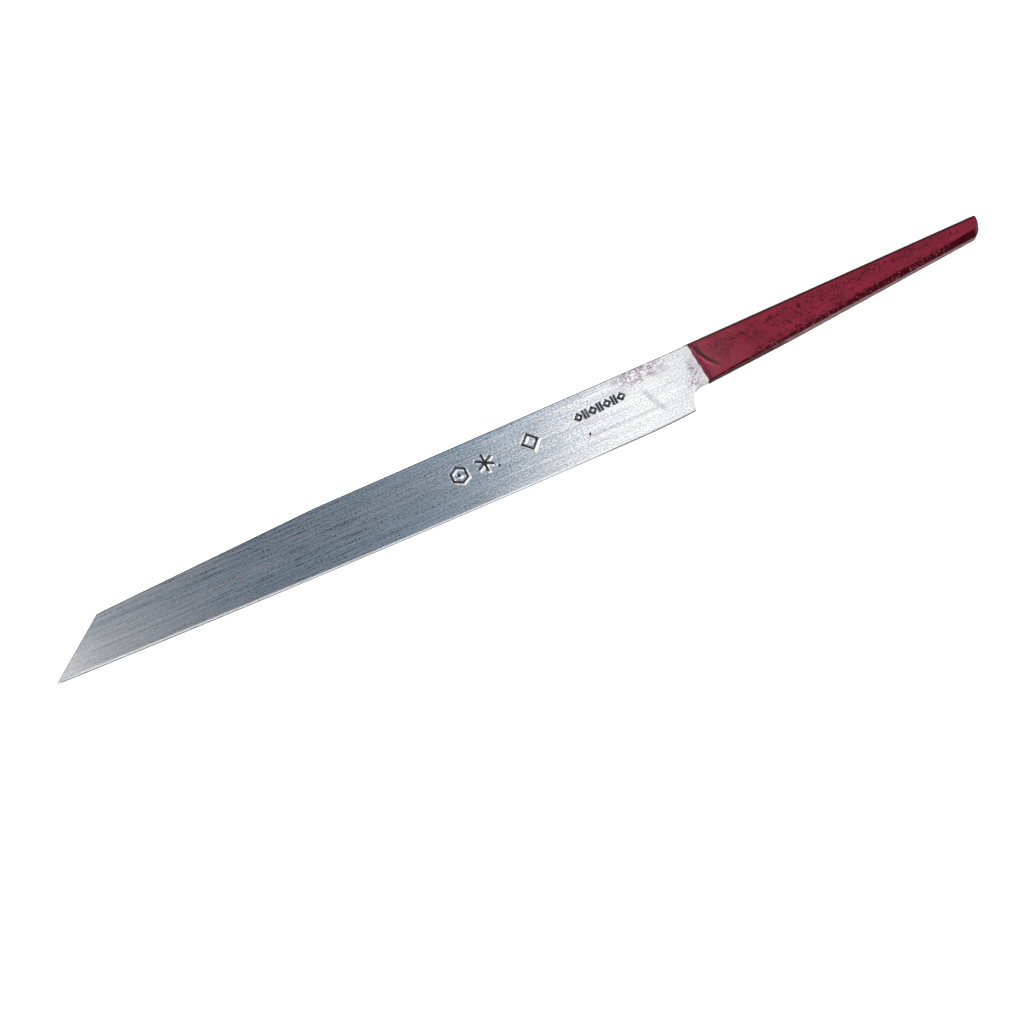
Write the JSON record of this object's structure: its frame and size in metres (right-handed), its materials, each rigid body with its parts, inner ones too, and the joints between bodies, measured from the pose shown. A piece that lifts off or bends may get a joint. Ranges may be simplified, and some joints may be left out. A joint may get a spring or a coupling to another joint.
{
  "type": "chip carving knife blade",
  "caption": "Straight single-bevel chip carving blade with a slanted spine, an angled tip and a narrow tapered tang dipped in red lacquer, ready to be set in a handle.",
  "frame": {"origin": "bottom centre of the bounding box, on the surface the knife's flat back rests on", "axes": "+X from the blade's tip towards the tang's end, -Y towards the cutting edge, +Z out of the flat stamped front face"},
  "size_m": [0.1646, 0.0128, 0.0026],
  "materials": {
    "blade_steel": "tool steel, ground lengthways, with stamped marks",
    "red_lacquer": "thick dark red dipped lacquer, glossy, a little lumpy",
    "black_ink": "black filler in the small stamped row"
  },
  "bodies": {
    "root": {"blade": "blade_steel", "tang_lacquer": "red_lacquer", "stamp_ink": "black_ink", "lacquer_fleck": "red_lacquer"}
  },
  "joints": []
}
